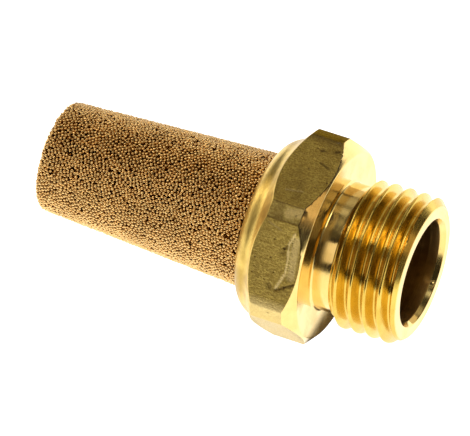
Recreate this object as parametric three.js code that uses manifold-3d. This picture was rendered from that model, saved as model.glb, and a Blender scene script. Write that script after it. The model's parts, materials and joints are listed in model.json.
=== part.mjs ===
// Screw-in exhaust muffler for compressed air: a turned brass body with a hexagon and a
// G 1/4 male thread, and a porous bronze cup that its rolled lip holds in a socket.
//
// Millimetres, +Z up. The axis is X, and +X runs out of the threaded end. The origin is
// on the axis, in the plane of the sealing face. One flat of the hexagon faces down.

import * as THREE from 'three';
import { mergeVertices } from 'three/addons/utils/BufferGeometryUtils.js';
import Module from 'manifold-3d';

const wasm = await Module();
wasm.setup();

// Thread: ISO 228 G 1/4, 55 degree Whitworth form, right-handed
const THREAD_MAJOR_DIAMETER = 13.157;
const THREAD_PITCH = 1.337;
const THREAD_DEPTH_RATIO = 0.640327; // of the pitch, from the thread form
const THREAD_FLAT_RATIO = 1 / 6; // of the pitch, at the crest and at the root
const THREAD_END_X = 8.0; // free end, measured from the sealing face
const THREAD_END_CHAMFER = 0.7;
const THREAD_START_ANGLE = 0;

// Relief between the sealing face and the thread
const RELIEF_UNDERCUT = 0.0724; // below the thread's root
const RELIEF_LENGTH = 1.75;
const RELIEF_RUNOUT = 0.6; // cone from the relief up to the thread's crest
const RELIEF_FILLET = 0.25;

// Bore
const NECK_WALL = 1.05; // from the relief in to the bore
const BORE_MOUTH_WIDTH = 0.25;
const BORE_MOUTH_DEPTH = 0.5;

// Hexagon, with its corners turned off
const HEX_ACROSS_FLATS = 17;
const HEX_CORNER_TRIM = 0.83; // turned off across two sharp corners
const HEX_CORNER_LENGTH = 2.9; // straight part of each corner
const SEAL_FACE_MARGIN = 0.2; // from the sealing face's rim out to the flats
const FRONT_CHAMFER_LENGTH = 0.95;

// Rear shoulder: a cone behind the hexagon, then a round down to the lip
const REAR_CONE_LENGTH = 1.22;
const REAR_CONE_WIDTH = 1.45;
const SHOULDER_LENGTH = 1.56; // from the cone's end back to the lip
const SHOULDER_BULGE = 0.3625; // of the round, out of the straight line between its ends
const LIP_WIDTH = 0.2;

// Porous cup
const CUP_STANDOUT = 19.77; // from the lip to the closed end
const CUP_LIP_DIAMETER = 12.09; // where the cup leaves the lip
const CUP_END_DIAMETER = 9.85; // where its taper would meet the closed end
const CUP_END_RADIUS = 0.6;
const CUP_WALL = 1.7;
const CUP_FLOOR = 2.0;
const CUP_INNER_RADIUS = 0.6;
const CUP_FOOT_STEP = 0.251; // how far the foot stands out of the tapered wall
const CUP_FOOT_LENGTH = 3.0;
const CUP_FOOT_CONE = 0.6; // from the foot down to the tapered wall
const CUP_FOOT_WALL = 2.3;

// Socket for the cup's foot
const SOCKET_SHOULDER_X = -2.6;
const FIT_CLEARANCE = 0.05;

// Facets
const ROUND_SEGMENTS = 72;
const HELIX_SEGMENTS = 36; // in each turn of the thread
const SHOULDER_STEPS = 8;
const FILLET_STEPS = 3;

// Places that follow from the sizes above
const HEX_FRONT_X = -FRONT_CHAMFER_LENGTH;
const HEX_BACK_X = HEX_FRONT_X - HEX_CORNER_LENGTH;
const CONE_END_X = HEX_BACK_X - REAR_CONE_LENGTH;
const LIP_X = CONE_END_X - SHOULDER_LENGTH;
const CUP_END_X = LIP_X - CUP_STANDOUT;
const CUP_FOOT_X = SOCKET_SHOULDER_X - FIT_CLEARANCE;
const CUP_FOOT_BACK_X = CUP_FOOT_X - CUP_FOOT_LENGTH;
const CUP_CONE_END_X = CUP_FOOT_BACK_X - CUP_FOOT_CONE;

// Diameters that follow from the sizes above
const THREAD_DEPTH = THREAD_DEPTH_RATIO * THREAD_PITCH;
const THREAD_ROOT_DIAMETER = THREAD_MAJOR_DIAMETER - 2 * THREAD_DEPTH;
const RELIEF_DIAMETER = THREAD_ROOT_DIAMETER - 2 * RELIEF_UNDERCUT;
const BORE_DIAMETER = RELIEF_DIAMETER - 2 * NECK_WALL;
const BORE_MOUTH_DIAMETER = BORE_DIAMETER + 2 * BORE_MOUTH_WIDTH;
const HEX_CORNER_DIAMETER = 2 * HEX_ACROSS_FLATS / Math.sqrt(3) - HEX_CORNER_TRIM;
const CUP_FOOT_DIAMETER = 2 * (cupRadius(CUP_FOOT_BACK_X) + CUP_FOOT_STEP);

// ---------- shared shapes ----------

/** A point of a turned profile. */
function at(radius, x) {
  return new THREE.Vector2(radius, x);
}

/** Points from start to end on an arc that bulges to the right of that direction. */
function arc(start, end, radius, steps) {
  const chord = end.clone().sub(start);
  const half = chord.length() / 2;
  const left = at(-chord.y, chord.x).normalize();
  const centre = start.clone().addScaledVector(chord, 0.5)
    .addScaledVector(left, Math.sqrt(radius * radius - half * half));
  const sweep = 2 * Math.asin(half / radius);
  const points = [];
  for (let i = 0; i <= steps; i++) {
    points.push(start.clone().rotateAround(centre, sweep * i / steps));
  }
  return points;
}

/** Radius of an arc that stands out by bulge from the line between its ends. */
function bulgeRadius(start, end, bulge) {
  const half = start.distanceTo(end) / 2;
  return (half * half + bulge * bulge) / (2 * bulge);
}

/** A profile turned about the X axis. */
function turned(profile) {
  return new THREE.LatheGeometry(profile, ROUND_SEGMENTS).rotateZ(-Math.PI / 2);
}

/** A geometry as a solid that can be cut. */
function solid(geometry) {
  const bare = geometry.clone();
  bare.deleteAttribute('normal');
  bare.deleteAttribute('uv');
  const merged = mergeVertices(bare, 1e-5);
  return new wasm.Manifold(new wasm.Mesh({
    numProp: 3,
    vertProperties: new Float32Array(merged.attributes.position.array),
    triVerts: new Uint32Array(merged.index.array),
  }));
}

/** A cut solid as a geometry. */
function geometryOf(manifold) {
  const mesh = manifold.getMesh();
  const geometry = new THREE.BufferGeometry();
  geometry.setAttribute('position', new THREE.BufferAttribute(mesh.vertProperties, 3));
  geometry.setIndex(new THREE.BufferAttribute(mesh.triVerts, 1));
  geometry.computeVertexNormals();
  return geometry;
}

/** A named mesh with its own material. */
function piece(name, geometry, color, roughness, metalness) {
  const material = new THREE.MeshStandardMaterial({ color, roughness, metalness });
  const mesh = new THREE.Mesh(geometry, material);
  mesh.name = name;
  return mesh;
}

// ---------- porous cup ----------

/** Outer radius of the cup's tapered wall. */
function cupRadius(x) {
  const taper = (CUP_LIP_DIAMETER - CUP_END_DIAMETER) / 2 / CUP_STANDOUT;
  return CUP_END_DIAMETER / 2 + taper * (x - CUP_END_X);
}

/** Cup: closed at the far end, tapered, with a foot that the body's lip holds in. */
function cup() {
  const footRadius = CUP_FOOT_DIAMETER / 2;
  const floorX = CUP_END_X + CUP_FLOOR;
  const innerCornerX = floorX + CUP_INNER_RADIUS;
  const innerCorner = cupRadius(innerCornerX) - CUP_WALL;
  const outerCornerX = CUP_END_X + CUP_END_RADIUS;
  const outerCorner = cupRadius(outerCornerX);
  return turned([
    at(0, CUP_END_X),
    ...arc(at(outerCorner - CUP_END_RADIUS, CUP_END_X), at(outerCorner, outerCornerX),
      CUP_END_RADIUS, FILLET_STEPS),
    at(cupRadius(CUP_CONE_END_X), CUP_CONE_END_X),
    at(footRadius, CUP_FOOT_BACK_X),
    at(footRadius, CUP_FOOT_X),
    at(footRadius - CUP_FOOT_WALL, CUP_FOOT_X),
    ...arc(at(innerCorner - CUP_INNER_RADIUS, floorX), at(innerCorner, innerCornerX),
      CUP_INNER_RADIUS, FILLET_STEPS).reverse(),
    at(0, floorX),
  ]);
}

// ---------- threaded body ----------

/** Helix on which the thread's root runs, from beyond the free end back to the relief. */
class ThreadPath extends THREE.Curve {
  constructor(radius, fromX, toX) {
    super();
    this.radius = radius;
    this.fromX = fromX;
    this.toX = toX;
  }

  angle(t) {
    const x = this.fromX + (this.toX - this.fromX) * t;
    return THREAD_START_ANGLE + 2 * Math.PI * x / THREAD_PITCH;
  }

  getPoint(t, target = new THREE.Vector3()) {
    const x = this.fromX + (this.toX - this.fromX) * t;
    const angle = this.angle(t);
    return target.set(x, this.radius * Math.cos(angle), this.radius * Math.sin(angle));
  }

  /** Frames that keep the groove's section radial and along the axis. */
  computeFrenetFrames(segments) {
    const frames = { tangents: [], normals: [], binormals: [] };
    for (let i = 0; i <= segments; i++) {
      const angle = this.angle(i / segments);
      frames.tangents.push(new THREE.Vector3(0, Math.sin(angle), -Math.cos(angle)));
      frames.normals.push(new THREE.Vector3(0, Math.cos(angle), Math.sin(angle)));
      frames.binormals.push(new THREE.Vector3(1, 0, 0));
    }
    return frames;
  }
}

/** The thread's groove as a solid: a flat-bottomed V that opens outward past the crest. */
function threadGroove() {
  const rootHalf = THREAD_FLAT_RATIO * THREAD_PITCH / 2;
  const crestHalf = THREAD_PITCH / 2 - rootHalf;
  const past = 0.15; // share of the depth by which the V reaches beyond the crest
  const topHalf = crestHalf + past * (crestHalf - rootHalf);
  const section = new THREE.Shape([
    at(0, -rootHalf),
    at(THREAD_DEPTH * (1 + past), -topHalf),
    at(THREAD_DEPTH * (1 + past), topHalf),
    at(0, rootHalf),
  ]);
  const fromX = THREAD_END_X + THREAD_PITCH;
  const toX = RELIEF_LENGTH / 2;
  const turns = (fromX - toX) / THREAD_PITCH;
  return new THREE.ExtrudeGeometry(section, {
    steps: Math.ceil(turns * HELIX_SEGMENTS),
    extrudePath: new ThreadPath(THREAD_ROOT_DIAMETER / 2, fromX, toX),
  });
}

/** Hexagonal bar along X, long enough to pass through the whole body. */
function hexBar() {
  const sharpRadius = HEX_ACROSS_FLATS / Math.sqrt(3);
  const frontX = THREAD_END_X + 1;
  const backX = LIP_X - 1;
  return new THREE.CylinderGeometry(sharpRadius, sharpRadius, frontX - backX, 6)
    .rotateY(Math.PI / 6)
    .rotateZ(-Math.PI / 2)
    .translate((frontX + backX) / 2, 0, 0);
}

/** The body as turned, before its flats and its thread are cut. */
function bodyBlank() {
  const crest = THREAD_MAJOR_DIAMETER / 2;
  const relief = RELIEF_DIAMETER / 2;
  const bore = BORE_DIAMETER / 2;
  const corner = HEX_CORNER_DIAMETER / 2;
  const socket = CUP_FOOT_DIAMETER / 2 + FIT_CLEARANCE;
  const lipInner = cupRadius(LIP_X) + FIT_CLEARANCE;
  const lipOuter = at(lipInner + LIP_WIDTH, LIP_X);
  const coneEnd = at(corner - REAR_CONE_WIDTH, CONE_END_X);
  const profile = [
    at(BORE_MOUTH_DIAMETER / 2, THREAD_END_X),
    at(bore, THREAD_END_X - BORE_MOUTH_DEPTH),
    at(bore, SOCKET_SHOULDER_X),
    at(socket, SOCKET_SHOULDER_X),
    at(socket, CUP_FOOT_BACK_X),
    at(cupRadius(CUP_CONE_END_X) + FIT_CLEARANCE, CUP_CONE_END_X),
    at(lipInner, LIP_X),
    ...arc(lipOuter, coneEnd, bulgeRadius(lipOuter, coneEnd, SHOULDER_BULGE), SHOULDER_STEPS),
    at(corner, HEX_BACK_X),
    at(corner, HEX_FRONT_X),
    at(HEX_ACROSS_FLATS / 2 - SEAL_FACE_MARGIN, 0),
    ...arc(at(relief, RELIEF_FILLET), at(relief + RELIEF_FILLET, 0),
      RELIEF_FILLET, FILLET_STEPS).reverse(),
    at(relief, RELIEF_LENGTH),
    at(crest, RELIEF_LENGTH + RELIEF_RUNOUT),
    at(crest, THREAD_END_X - THREAD_END_CHAMFER),
    at(crest - THREAD_END_CHAMFER, THREAD_END_X),
  ];
  return turned([...profile, profile[0].clone()]);
}

/** Body: hexagon, sealing face, relief, thread and bore, with the cup's socket behind. */
function body() {
  return geometryOf(solid(bodyBlank())
    .intersect(solid(hexBar()))
    .subtract(solid(threadGroove())));
}

const muffler = new THREE.Group();
muffler.add(piece('threaded_body', body(), 0xc9a24a, 0.28, 1.0));
muffler.add(piece('sintered_cup', cup(), 0xb5834a, 0.6, 0.9));

export default muffler;
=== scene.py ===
"""Looks of a screw-in exhaust muffler for compressed air.

A turned brass body with a hexagon and a male thread, and a cup of sintered bronze balls that the
body's rolled lip holds. Sizes are in millimetres and meshes in metres. The axis is X, +X runs out
of the threaded end, and the sealing face is at x = 0.
"""

import json
import logging
import math
from dataclasses import dataclass, field
from enum import IntEnum

import bmesh
import bpy
import numpy as np
from mathutils import Matrix, Vector, kdtree

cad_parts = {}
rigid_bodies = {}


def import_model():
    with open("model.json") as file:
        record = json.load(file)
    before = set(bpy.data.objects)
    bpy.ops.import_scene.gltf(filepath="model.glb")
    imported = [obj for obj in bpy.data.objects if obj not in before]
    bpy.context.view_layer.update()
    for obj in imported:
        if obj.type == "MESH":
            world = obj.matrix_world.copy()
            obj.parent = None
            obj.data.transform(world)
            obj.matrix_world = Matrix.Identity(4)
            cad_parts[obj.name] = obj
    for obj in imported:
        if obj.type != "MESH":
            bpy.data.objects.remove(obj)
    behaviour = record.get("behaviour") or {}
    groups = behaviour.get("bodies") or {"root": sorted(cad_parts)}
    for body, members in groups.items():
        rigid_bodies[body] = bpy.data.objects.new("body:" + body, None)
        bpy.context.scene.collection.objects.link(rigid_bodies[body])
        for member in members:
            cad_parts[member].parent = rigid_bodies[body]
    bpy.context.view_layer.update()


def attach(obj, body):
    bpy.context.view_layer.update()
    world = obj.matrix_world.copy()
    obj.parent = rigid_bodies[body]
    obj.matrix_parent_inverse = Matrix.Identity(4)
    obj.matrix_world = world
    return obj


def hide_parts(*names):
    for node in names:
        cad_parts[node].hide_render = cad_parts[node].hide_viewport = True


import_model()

LOG = logging.getLogger("muffler")
MM = 0.001
Colour = tuple[float, float, float]
WHITE: Colour = (1.0, 1.0, 1.0)


# ---------- small shared tools ----------

def arc(start: Vector, end: Vector, bulge: float, steps: int) -> list[Vector]:
    """Points on an arc that bulges to the left of the way from start to end.

    Args:
        start: first point, as (x, r).
        end: last point, as (x, r).
        bulge: how far the arc stands out of the straight line between its ends.
        steps: number of chords.

    Returns:
        The points from start to end, both included.
    """
    chord = end - start
    half = chord.length / 2
    radius = (half ** 2 + bulge ** 2) / (2 * bulge)
    normal = Vector((chord.y, -chord.x)).normalized()
    centre = (start + end) / 2 + normal * (radius - bulge)
    first = math.atan2(start.y - centre.y, start.x - centre.x)
    sweep = 2 * math.asin(half / radius)
    return [centre + Vector((math.cos(first - sweep * i / steps),
                             math.sin(first - sweep * i / steps))) * radius
            for i in range(steps + 1)]


def soft_min(a: float, b: float, blend: float) -> float:
    """The smaller of two values, rounded where they cross."""
    h = max(blend - abs(a - b), 0.0) / blend
    return min(a, b) - h * h * blend / 4


def toward(azimuth: float, elevation: float) -> Vector:
    """The unit vector at an azimuth from +X and an elevation, both in radians."""
    return Vector((math.cos(elevation) * math.cos(azimuth),
                   math.cos(elevation) * math.sin(azimuth), math.sin(elevation)))


def away_from_axis(turn: float) -> Vector:
    """The unit vector away from the axis, at a turn in degrees from the top towards -Y."""
    angle = math.radians(turn)
    return Vector((0, -math.sin(angle), math.cos(angle)))


def spin_round(bm: bmesh.types.BMesh, steps: int, pole_merge: float = 0.0) -> None:
    """Spins a profile into a closed shape round the axis, with its faces outwards.

    Args:
        bm: the mesh, which holds the profile.
        steps: number of segments in the turn.
        pole_merge: points nearer than this are joined, in metres, where the profile meets the axis.
    """
    bmesh.ops.spin(bm, geom=bm.verts[:] + bm.edges[:], cent=(0, 0, 0), axis=(1, 0, 0),
                   angle=2 * math.pi, steps=steps, use_merge=True)
    if pole_merge:
        bmesh.ops.remove_doubles(bm, verts=bm.verts[:], dist=pole_merge)
    bmesh.ops.recalc_face_normals(bm, faces=bm.faces[:])


def finished_mesh(bm: bmesh.types.BMesh, name: str, materials: list[bpy.types.Material],
                  smooth_angle: float = math.radians(35)) -> bpy.types.Object:
    """A bmesh as an object in the scene, with its materials and its shading.

    Args:
        bm: the mesh, in metres; it is freed.
        name: name of the object.
        materials: materials in the order of their slots.
        smooth_angle: edges sharper than this stay sharp.

    Returns:
        The object, at the origin.
    """
    mesh = bpy.data.meshes.new(name)
    for edge in bm.edges:
        edge.smooth = len(edge.link_faces) != 2 or edge.calc_face_angle(0.0) < smooth_angle
    for face in bm.faces:
        face.smooth = True
    bm.to_mesh(mesh)
    bm.free()
    for material in materials:
        mesh.materials.append(material)
    piece = bpy.data.objects.new(name, mesh)
    bpy.context.scene.collection.objects.link(piece)
    return piece


class Nodes:
    """A short way to add and join the nodes of one tree."""

    def __init__(self, tree: bpy.types.NodeTree) -> None:
        """Keeps the tree."""
        self.tree = tree

    def add(self, kind: str, inputs: dict | None = None, **settings: object) -> bpy.types.Node:
        """Adds a node.

        Args:
            kind: the node's type, without its ShaderNode prefix.
            inputs: values or output sockets, by input name or index.
            settings: the node's own settings.

        Returns:
            The node.
        """
        node = self.tree.nodes.new(kind if kind.startswith("NodeGroup") else "ShaderNode" + kind)
        for name, value in settings.items():
            setattr(node, name, value)
        for name, value in (inputs or {}).items():
            self.put(node.inputs[name], value)
        return node

    def put(self, socket: bpy.types.NodeSocket, value: object) -> None:
        """Joins a socket to an output, or sets its value."""
        if isinstance(value, bpy.types.NodeSocket):
            self.tree.links.new(value, socket)
        elif isinstance(value, tuple) and len(value) == 3 and socket.type == "RGBA":
            socket.default_value = (*value, 1.0)
        else:
            socket.default_value = value

    def math(self, operation: str, *values: object) -> bpy.types.NodeSocket:
        """A Math node's output."""
        node = self.add("Math", dict(enumerate(values)), operation=operation)
        return node.outputs[0]

    def ramp(self, value: object, low: float, high: float, to_low: float = 0.0,
             to_high: float = 1.0) -> bpy.types.NodeSocket:
        """A value taken smoothly from one range to another."""
        node = self.add("MapRange", {"Value": value, "From Min": low, "From Max": high,
                                     "To Min": to_low, "To Max": to_high},
                        interpolation_type="SMOOTHSTEP")
        return node.outputs[0]

    def mix(self, share: object, a: object, b: object) -> bpy.types.NodeSocket:
        """One colour blended into another."""
        node = self.add("Mix", data_type="RGBA")
        self.put(node.inputs[0], share)
        self.put(node.inputs[6], a)
        self.put(node.inputs[7], b)
        return node.outputs[2]

    def over(self, colour: object, mask: object, strength: float,
             above: Colour) -> bpy.types.NodeSocket:
        """A colour laid over another, as far as a mask and a strength let it."""
        return self.mix(self.math("MULTIPLY", mask, strength), colour, above)

    def total(self, *parts: tuple[object, float]) -> bpy.types.NodeSocket:
        """The sum of values, each times its weight."""
        weighted = [self.math("MULTIPLY", value, weight) for value, weight in parts]
        result = weighted[0]
        for value in weighted[1:]:
            result = self.math("ADD", result, value)
        return result

    def scaled(self, vector: object, factors: Colour) -> bpy.types.NodeSocket:
        """A vector with each part multiplied by its own factor."""
        return self.add("VectorMath", {0: vector, 1: factors}, operation="MULTIPLY").outputs[0]

    def parts(self, vector: object) -> bpy.types.NodeOutputs:
        """A vector's three parts."""
        return self.add("SeparateXYZ", {0: vector}).outputs

    def attribute(self, name: str) -> bpy.types.NodeSocket:
        """A number that the mesh stores at each vertex."""
        return self.add("Attribute", attribute_name=name).outputs["Fac"]

    def noise(self, vector: object, scale: float, detail: float = 2.0,
              roughness: float = 0.5) -> bpy.types.NodeSocket:
        """A noise texture's value."""
        node = self.add("TexNoise", {"Vector": vector, "Scale": scale, "Detail": detail,
                                     "Roughness": roughness})
        return node.outputs[0]

    def group(self, effect: "Effect", **inputs: object) -> bpy.types.NodeOutputs:
        """Places a shared effect with its own values, and gives its outputs."""
        return self.add("Group", dict(inputs), node_tree=effect.tree).outputs


def new_material(name: str) -> tuple[bpy.types.Material, Nodes, bpy.types.NodeInputs]:
    """An empty material.

    Args:
        name: the material's name.

    Returns:
        The material, its nodes, and the inputs of its shader.
    """
    material = bpy.data.materials.new(name)
    material.use_nodes = True
    shader = material.node_tree.nodes["Principled BSDF"]
    return material, Nodes(material.node_tree), shader.inputs


class Effect:
    """A shared effect: a node group with named inputs and outputs."""

    name = ""
    takes: dict[str, float] = {}
    gives: tuple[str, ...] = ()

    def __init__(self) -> None:
        """Builds the group once."""
        self.tree = bpy.data.node_groups.new(self.name, "ShaderNodeTree")
        for name, value in self.takes.items():
            socket = self.tree.interface.new_socket(name, in_out="INPUT",
                                                    socket_type="NodeSocketFloat")
            socket.default_value = value
        for name in self.gives:
            self.tree.interface.new_socket(name, in_out="OUTPUT", socket_type="NodeSocketFloat")
        nodes = Nodes(self.tree)
        source = nodes.add("NodeGroupInput")
        result = nodes.add("NodeGroupOutput")
        for name, value in self.build(nodes, source.outputs).items():
            nodes.put(result.inputs[name], value)

    def build(self, nodes: Nodes, given: bpy.types.NodeOutputs) -> dict[str, object]:
        """Builds the inside of the group.

        Args:
            nodes: the group's own nodes.
            given: the group's inputs.

        Returns:
            The sockets to put out, by name.
        """
        raise NotImplementedError


def place_on_axis(nodes: Nodes) -> tuple[object, object, object]:
    """The shaded spot in the object's own frame.

    Args:
        nodes: nodes of the tree that needs it.

    Returns:
        The spot in millimetres, its distance along the axis, and its distance from the axis.
    """
    spot = nodes.scaled(nodes.add("TexCoord").outputs["Object"], (1 / MM,) * 3)
    along, across, up = nodes.parts(spot)
    square = nodes.math("ADD", nodes.math("MULTIPLY", across, across),
                        nodes.math("MULTIPLY", up, up))
    return spot, along, nodes.math("SQRT", square)


class TurningLines(Effect):
    """Fine rings that a lathe tool leaves on a turned surface."""

    name = "turning_lines"
    takes = {"Pitch": 0.06, "Waver": 0.6}
    gives = ("Height", "Coarse")
    facing = 1.37  # how fast rings follow each other on an end face, against a round surface
    coarse_pace = 0.17  # how many coarse rings there are for each fine one

    def build(self, nodes: Nodes, given: bpy.types.NodeOutputs) -> dict[str, object]:
        """Builds rings that are nearly the same all the way round."""
        spot, along, radius = place_on_axis(nodes)
        _, across, up = nodes.parts(spot)
        travel = nodes.math("ADD", along, nodes.math("MULTIPLY", radius, self.facing))
        around = [nodes.math("MULTIPLY", nodes.math("DIVIDE", part, radius), given["Waver"])
                  for part in (across, up)]
        ring = nodes.add("CombineXYZ", {0: nodes.math("DIVIDE", travel, given["Pitch"]),
                                        1: around[0], 2: around[1]}).outputs[0]
        return {"Height": nodes.noise(ring, 1.0, 1.0),
                "Coarse": nodes.noise(nodes.scaled(ring, (self.coarse_pace, 1.0, 1.0)), 1.0)}


class Tarnish(Effect):
    """Soft clouds of discolouring, grains and fine specks."""

    name = "tarnish"
    takes = {"Cloud": 0.35, "Grain": 6.0}
    gives = ("Clouds", "Grains", "Specks")
    speck_scale = 3.1

    def build(self, nodes: Nodes, given: bpy.types.NodeOutputs) -> dict[str, object]:
        """Builds noise at three sizes."""
        spot, _, _ = place_on_axis(nodes)
        clouds = nodes.noise(spot, given["Cloud"], 3.0)
        grains = nodes.noise(spot, given["Grain"], 2.0, 0.6)
        specks = nodes.noise(spot, self.speck_scale, 4.0, 0.75)
        return {"Clouds": nodes.ramp(clouds, 0.35, 0.65), "Grains": nodes.ramp(grains, 0.3, 0.7),
                "Specks": nodes.ramp(specks, 0.62, 0.72)}


class BarGrain(Effect):
    """Streaks that a drawing die leaves along a bar, with mottling and small pits."""

    name = "bar_grain"
    takes = {"Streak": 9.0, "Pit": 1.6}
    gives = ("Streaks", "Mottle", "Pits")
    drawn_out = 0.12  # width of a streak against its length
    mottle_scale = 5.5
    pitted_scale = 0.55  # scale of the few places that have pits

    def build(self, nodes: Nodes, given: bpy.types.NodeOutputs) -> dict[str, object]:
        """Builds noise drawn out along the axis, and sparse round pits."""
        spot, _, _ = place_on_axis(nodes)
        drawn = nodes.scaled(spot, (self.drawn_out, 1.0, 1.0))
        streaks = nodes.noise(drawn, given["Streak"], 3.0, 0.65)
        mottle = nodes.noise(spot, self.mottle_scale, 3.0, 0.7)
        cell = nodes.add("TexVoronoi", {"Vector": spot, "Scale": given["Pit"], "Randomness": 1.0})
        pitted = nodes.ramp(nodes.noise(spot, self.pitted_scale, 1.0), 0.5, 0.56)
        pits = nodes.ramp(cell.outputs["Distance"], 0.06, 0.2, 1.0, 0.0)
        return {"Streaks": nodes.ramp(streaks, 0.3, 0.7), "Mottle": nodes.ramp(mottle, 0.35, 0.65),
                "Pits": nodes.math("MULTIPLY", pits, pitted)}


@dataclass
class Effects:
    """The shared effects, each built once."""

    lines: TurningLines = field(default_factory=TurningLines)
    tarnish: Tarnish = field(default_factory=Tarnish)
    bar: BarGrain = field(default_factory=BarGrain)


# ---------- finishes ----------

@dataclass(frozen=True)
class Finish:
    """What every finish has: a name and a metal surface."""

    name: str
    metallic: float = 1.0

    def material(self, effects: Effects) -> bpy.types.Material:
        """Makes the material.

        Args:
            effects: the shared effects.

        Returns:
            The material, with its nodes.
        """
        material, nodes, shader = new_material(self.name)
        shader["Metallic"].default_value = self.metallic
        for socket, value in self.surface(nodes, effects).items():
            nodes.put(shader[socket], value)
        return material

    def surface(self, nodes: Nodes, effects: Effects) -> dict[str, object]:
        """What feeds the shader.

        Args:
            nodes: the material's nodes.
            effects: the shared effects.

        Returns:
            Values and output sockets by the shader's input names.
        """
        raise NotImplementedError

    @staticmethod
    def bump(nodes: Nodes, height: object, depth: float) -> bpy.types.NodeSocket:
        """A Bump node's normal, for a height whose full range is depth millimetres."""
        return nodes.add("Bump", {"Height": height, "Distance": depth * MM,
                                  "Strength": 1.0}).outputs[0]


@dataclass(frozen=True)
class TurnedBrass(Finish):
    """Bright brass as a lathe tool leaves it."""

    clean: Colour = (0.90, 0.68, 0.27)
    dull: Colour = (0.82, 0.58, 0.18)
    speck: Colour = (0.30, 0.17, 0.05)
    line_pitch: float = 0.055
    line_depth: float = 0.0012
    roughness: tuple[float, float] = (0.10, 0.22)

    def surface(self, nodes: Nodes, effects: Effects) -> dict[str, object]:
        """Rings, soft clouds of tarnish and a few specks."""
        lines = nodes.group(effects.lines, Pitch=self.line_pitch, Waver=0.8)
        tarnish = nodes.group(effects.tarnish, Cloud=0.45, Grain=7.0)
        share = nodes.total((tarnish["Clouds"], 0.55), (lines["Coarse"], 0.5))
        colour = nodes.mix(share, self.clean, self.dull)
        rough = nodes.total((tarnish["Clouds"], 0.5), (lines["Height"], 0.5))
        height = nodes.total((lines["Height"], 1.0), (lines["Coarse"], 1.6))
        return {"Base Color": nodes.over(colour, tarnish["Specks"], 0.5, self.speck),
                "Roughness": nodes.ramp(rough, 0.2, 0.8, *self.roughness),
                "Normal": self.bump(nodes, height, self.line_depth)}


@dataclass(frozen=True)
class BarBrass(Finish):
    """Dull olive skin of a drawn hexagonal bar."""

    skin: Colour = (0.43, 0.30, 0.062)
    worn: Colour = (0.62, 0.46, 0.11)
    stain: Colour = (0.20, 0.125, 0.028)
    # colour of bare metal in scrapes, also laid on as a painted sheen
    bare_and_sheen: Colour = (0.90, 0.70, 0.30)
    pit: Colour = (0.11, 0.065, 0.018)
    edge: Colour = WHITE
    roughness: tuple[float, float] = (0.36, 0.52)
    grain_depth: float = 0.03

    def surface(self, nodes: Nodes, effects: Effects) -> dict[str, object]:
        """Streaks along the bar, stains, mottling and pits, and the marks that the mesh stores,
        some of which are painted sheen and painted shade.
        """
        bar = nodes.group(effects.bar, Streak=8.0, Pit=1.5)
        tarnish = nodes.group(effects.tarnish, Cloud=0.3, Grain=8.0)
        colour = self.skin
        for mask, strength, above in ((bar["Streaks"], 0.85, self.worn),
                                      (bar["Mottle"], 0.6, self.stain),
                                      (tarnish["Clouds"], 0.35, self.stain),
                                      (bar["Pits"], 0.6, self.pit),
                                      # lighter where the marks show bare metal, with a painted
                                      # sheen on the lower corner strip and side
                                      (nodes.attribute("fresh_and_sheen"), 0.85, self.bare_and_sheen),
                                      # darker where the marks show stains, with painted shade in
                                      # the gouge's tail and on the top corner strip
                                      (nodes.attribute("stain"), 0.8, self.pit)):
            colour = nodes.over(colour, mask, strength, above)
        height = nodes.total((bar["Streaks"], 0.5), (bar["Mottle"], 0.6), (bar["Pits"], -2.5))
        return {"Base Color": colour, "Specular Tint": self.edge,
                "Roughness": nodes.ramp(bar["Mottle"], 0.0, 1.0, *self.roughness),
                "Normal": self.bump(nodes, height, self.grain_depth)}


@dataclass(frozen=True)
class SatinBrass(Finish):
    """Brass that a forming roller has smoothed over."""

    clean: Colour = (0.82, 0.58, 0.15)
    dull: Colour = (0.52, 0.34, 0.075)
    speck: Colour = (0.33, 0.20, 0.06)
    roughness: tuple[float, float] = (0.31, 0.42)
    line_depth: float = 0.004

    def surface(self, nodes: Nodes, effects: Effects) -> dict[str, object]:
        """Faint broad rings under soft tarnish."""
        lines = nodes.group(effects.lines, Pitch=0.11, Waver=1.4)
        tarnish = nodes.group(effects.tarnish, Cloud=0.4, Grain=7.0)
        colour = nodes.mix(tarnish["Clouds"], self.clean, self.dull)
        height = nodes.total((lines["Coarse"], 1.0), (tarnish["Grains"], 0.35))
        return {"Base Color": nodes.over(colour, tarnish["Specks"], 0.45, self.speck),
                "Roughness": nodes.ramp(tarnish["Grains"], 0.0, 1.0, *self.roughness),
                "Normal": self.bump(nodes, height, self.line_depth)}


@dataclass(frozen=True)
class BoredBrass(Finish):
    """Brass inside the bore, darkened and browned as painted shade of the recess, with the tool's
    coarse rings.
    """

    # both colours are darker than the outside brass: painted shade of the bore
    clean: Colour = (0.56, 0.36, 0.12)
    dull: Colour = (0.30, 0.17, 0.05)
    roughness: tuple[float, float] = (0.3, 0.45)
    line_depth: float = 0.012

    def surface(self, nodes: Nodes, effects: Effects) -> dict[str, object]:
        """Coarse rings and brown clouds, in colours kept dark as painted shade."""
        lines = nodes.group(effects.lines, Pitch=0.14, Waver=0.5)
        tarnish = nodes.group(effects.tarnish, Cloud=0.5, Grain=5.0)
        share = nodes.total((lines["Height"], 0.55), (tarnish["Clouds"], 0.55))
        return {"Base Color": nodes.mix(share, self.clean, self.dull),
                "Roughness": nodes.ramp(lines["Coarse"], 0.3, 0.7, *self.roughness),
                "Normal": self.bump(nodes, lines["Height"], self.line_depth)}


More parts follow.
